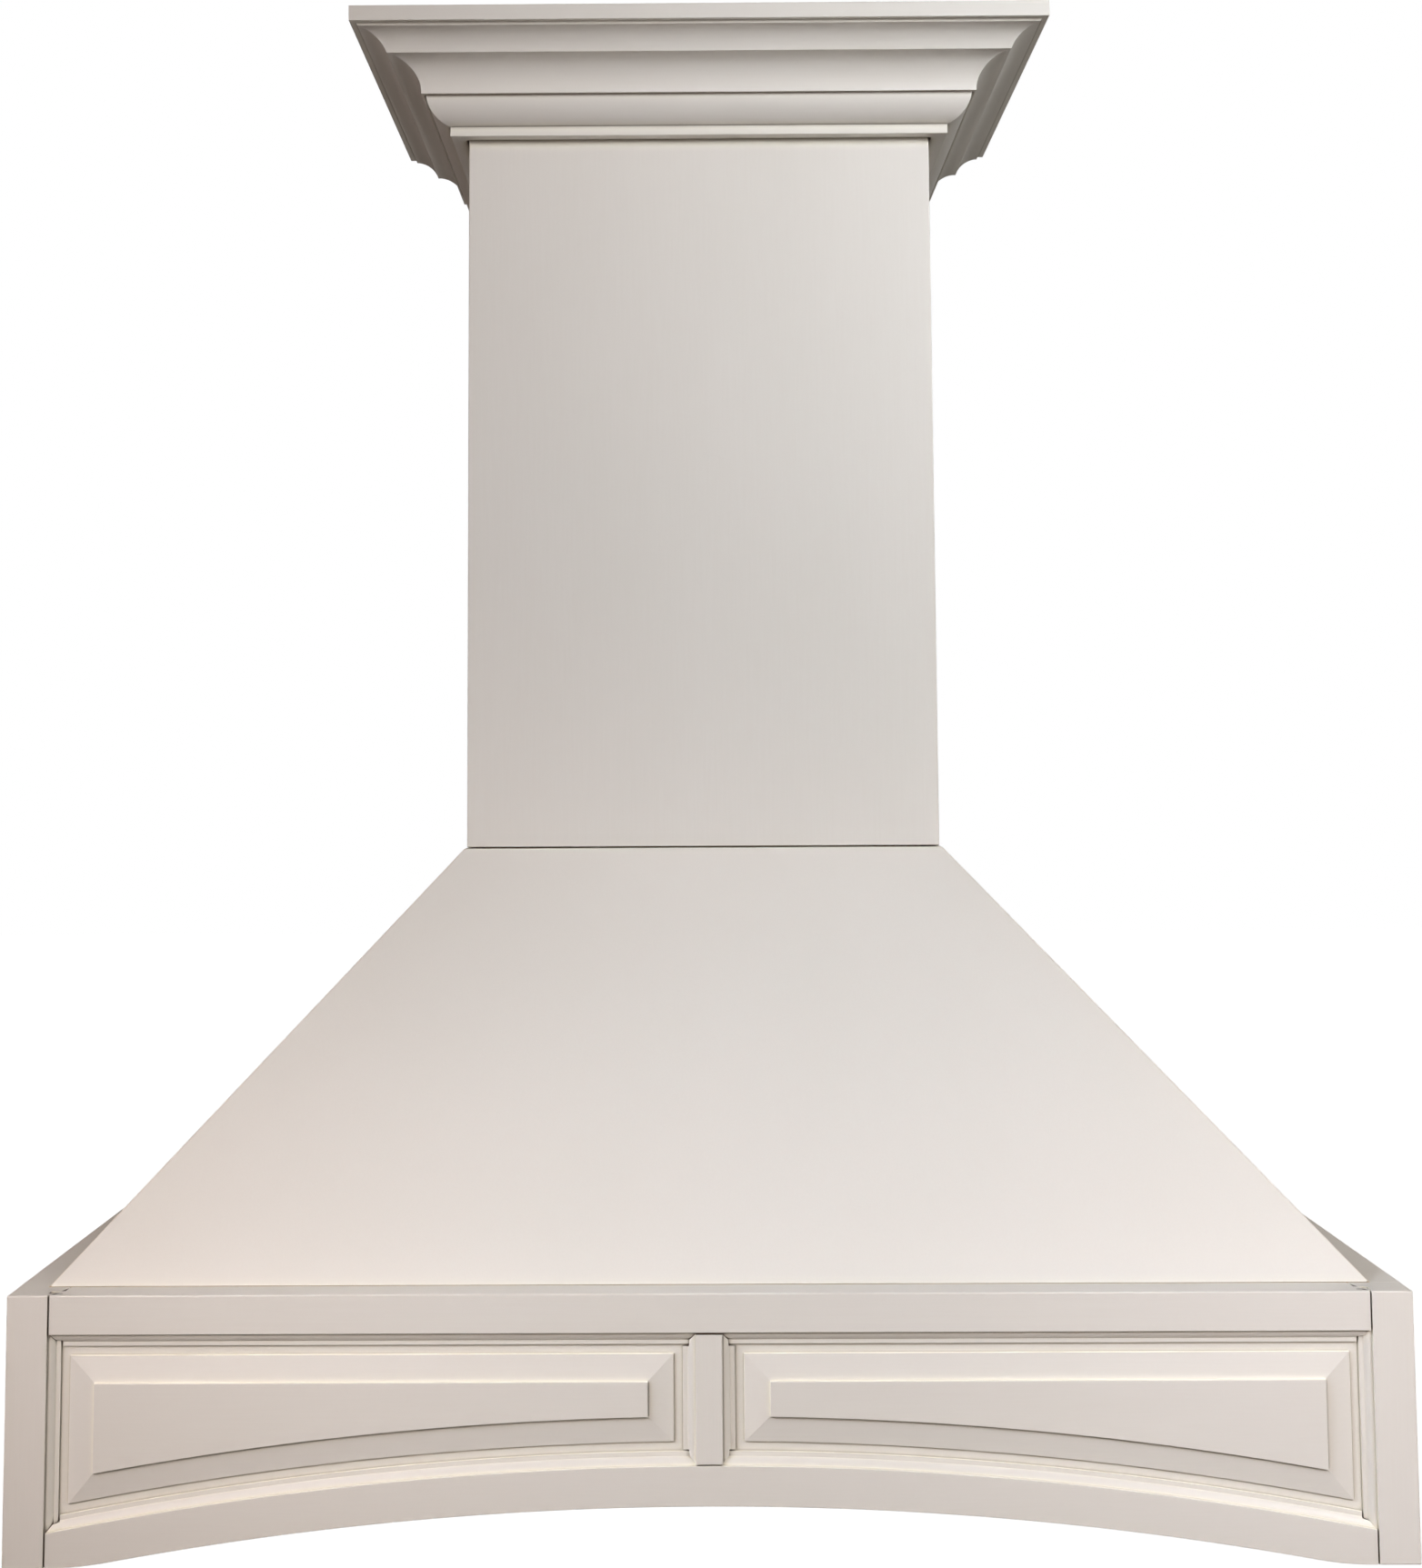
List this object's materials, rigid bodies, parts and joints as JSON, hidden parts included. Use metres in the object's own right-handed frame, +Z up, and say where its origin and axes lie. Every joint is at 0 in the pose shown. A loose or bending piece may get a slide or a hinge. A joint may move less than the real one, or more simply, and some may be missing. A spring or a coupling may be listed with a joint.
{
  "type": "range hood cover",
  "caption": "Wooden wall-hood cover: panelled apron with an arched bottom rail, tapered cone, tall chimney and mitred crown.",
  "frame": {"origin": "on the wall plane, in the middle of the four screw holes of the lower wall rail", "axes": "+Z up, the wall is the plane Y = 0, the front of the hood faces -Y, X runs along the wall"},
  "size_m": [0.9144, 0.5588, 1.0968],
  "materials": {
    "painted_wood": "satin cream lacquer, sprayed over sanded wood",
    "raw_softwood": "planed, unpainted",
    "raw_plywood": "sanded, unpainted",
    "zinc_plated_screw": "bright zinc plate"
  },
  "bodies": {
    "root": {"apron_side_left": "painted_wood", "apron_side_right": "painted_wood", "arched_bottom_rail": "painted_wood", "ceiling_rail": "raw_softwood", "chimney_front": "painted_wood", "chimney_ring_back": "raw_softwood", "chimney_ring_front": "raw_softwood", "chimney_ring_left": "raw_softwood", "chimney_ring_right": "raw_softwood", "chimney_side_left": "painted_wood", "chimney_side_right": "painted_wood", "cone_front": "painted_wood", "cone_rear_batten_left": "raw_softwood", "cone_rear_batten_right": "raw_softwood", "cone_ring_back": "raw_softwood", "cone_ring_front": "raw_softwood", "cone_ring_left": "raw_softwood", "cone_ring_right": "raw_softwood", "cone_seat_front": "raw_softwood", "cone_seat_left": "raw_softwood", "cone_seat_right": "raw_softwood", "cone_side_left": "painted_wood", "cone_side_right": "painted_wood", "corner_batten_left": "raw_softwood", "corner_batten_right": "raw_softwood", "crown_block_fore_left": "raw_softwood", "crown_block_fore_right": "raw_softwood", "crown_block_front_left": "raw_softwood", "crown_block_front_middle": "raw_softwood", "crown_block_front_right": "raw_softwood", "crown_block_rear_left": "raw_softwood", "crown_block_rear_right": "raw_softwood", "crown_front": "painted_wood", "crown_return_left": "painted_wood", "crown_return_right": "painted_wood", "crown_screws": "zinc_plated_screw", "hip_batten_left": "raw_softwood", "hip_batten_right": "raw_softwood", "insert_board": "raw_plywood", "insert_board_screws": "zinc_plated_screw", "insert_cleat_front": "raw_softwood", "insert_cleat_left": "raw_softwood", "insert_cleat_right": "raw_softwood", "lower_wall_rail": "raw_softwood", "mullion": "painted_wood", "post_left": "painted_wood", "post_right": "painted_wood", "raised_panel_left": "painted_wood", "raised_panel_right": "painted_wood", "ring_screws": "zinc_plated_screw", "top_rail": "painted_wood", "upper_wall_rail": "raw_softwood"}
  },
  "joints": []
}
